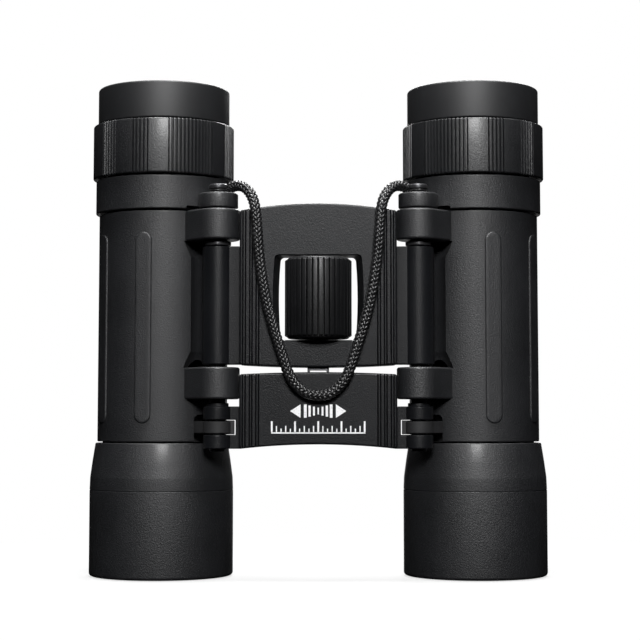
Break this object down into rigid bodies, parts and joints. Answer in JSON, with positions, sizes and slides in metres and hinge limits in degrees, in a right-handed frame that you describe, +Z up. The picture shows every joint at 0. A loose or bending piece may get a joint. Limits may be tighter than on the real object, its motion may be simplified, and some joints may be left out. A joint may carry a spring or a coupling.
{
  "type": "compact folding binoculars",
  "caption": "Compact binoculars whose tubes fold in on hinge pins either side of a bridge, with a central focus wheel and a short strap cord.",
  "frame": {"origin": "bottom centre of the object at the plane the objective rims stand on, strap cord left out", "axes": "+Z up from the objective rims to the eyecups, +X to the right seen from the focus wheel side, -Y towards the focus wheel"},
  "size_m": [0.1052, 0.0392, 0.112],
  "materials": {
    "body": "fine matte grain",
    "plate": "satin",
    "grip": "satin, ribbed",
    "rubber": "matte",
    "wheel": "matte, ribbed",
    "steel": "blackened",
    "cell": "dull black",
    "glass": "coated",
    "cord": "braided"
  },
  "bodies": {
    "bridge": {"upper_bridge": "plate", "back_cover": "plate", "cover_screw_1": "steel", "cover_screw_2": "steel", "left_hinge_pin": "steel", "left_hinge_cap": "body", "left_hinge_washer": "steel", "left_cord_loop": "cord", "right_hinge_pin": "steel", "right_hinge_cap": "body", "right_hinge_washer": "steel", "right_cord_loop": "cord", "strap_cord": "cord"},
    "focus_drive": {"focus_wheel": "wheel", "focus_screw": "steel"},
    "lower_bridge": {"lower_bridge": "plate", "focus_fork": "steel"},
    "left_tube": {"left_tube": "body", "left_objective_barrel": "body", "left_eyepiece_housing": "body", "left_prism_cage": "cell", "left_prism_1": "glass", "left_prism_2": "glass", "left_eyepiece_cell": "cell", "left_field_lens": "glass", "left_field_lens_ring": "cell", "left_eye_lens": "glass", "left_eye_lens_ring": "cell", "left_grip_ring": "grip", "left_eyecup": "rubber"},
    "right_tube": {"right_tube": "body", "right_objective_barrel": "body", "right_eyepiece_housing": "body", "right_prism_cage": "cell", "right_prism_1": "glass", "right_prism_2": "glass"},
    "left_objective": {"left_objective_cell": "cell", "left_objective_crown": "glass", "left_objective_flint": "glass", "left_objective_ring": "cell"},
    "right_objective": {"right_objective_cell": "cell", "right_objective_crown": "glass", "right_objective_flint": "glass", "right_objective_ring": "cell"},
    "diopter_ring": {"right_grip_ring": "grip", "right_eyecup": "rubber"},
    "right_eyepiece": {"right_eyepiece_cell": "cell", "right_field_lens": "glass", "right_field_lens_ring": "cell", "right_eye_lens": "glass", "right_eye_lens_ring": "cell"}
  },
  "joints": [
    {"name": "left_fold", "type": "hinge", "parent": "bridge", "child": "left_tube", "pos_m": [-0.0225, -0.01099, 0], "axis": [0, 0, -1], "range_deg": [0, 60]},
    {"name": "right_fold", "type": "hinge", "parent": "bridge", "child": "right_tube", "pos_m": [0.0225, -0.01099, 0], "axis": [0, 0, 1], "range_deg": [0, 60]},
    {"name": "focus_turn", "type": "hinge", "parent": "bridge", "child": "focus_drive", "pos_m": [0, -0.01209, 0.0628], "axis": [0, 0, 1], "range_deg": [-270, 126]},
    {"name": "lower_bridge_slide", "type": "slide", "parent": "bridge", "child": "lower_bridge", "axis": [0, 0, 1], "range_m": [-0.0015, 0.0007]},
    {"name": "left_objective_slide", "type": "slide", "parent": "left_tube", "child": "left_objective", "axis": [0, 0, 1], "range_m": [-0.0015, 0.0007]},
    {"name": "right_objective_slide", "type": "slide", "parent": "right_tube", "child": "right_objective", "axis": [0, 0, 1], "range_m": [-0.0015, 0.0007]},
    {"name": "diopter_turn", "type": "hinge", "parent": "right_tube", "child": "diopter_ring", "pos_m": [0.0361, 0.00311, 0.097], "axis": [0, 0, 1], "range_deg": [-40, 40]},
    {"name": "right_eyepiece_slide", "type": "slide", "parent": "right_tube", "child": "right_eyepiece", "axis": [0, 0, 1], "range_m": [-0.001, 0.001]}
  ],
  "couplings": [
    {"joint": "lower_bridge_slide", "follows": "focus_turn", "m_per_rad": 0.00031831},
    {"joint": "left_objective_slide", "follows": "focus_turn", "m_per_rad": 0.00031831},
    {"joint": "right_objective_slide", "follows": "focus_turn", "m_per_rad": 0.00031831},
    {"joint": "right_eyepiece_slide", "follows": "diopter_turn", "m_per_rad": 0.001432}
  ]
}
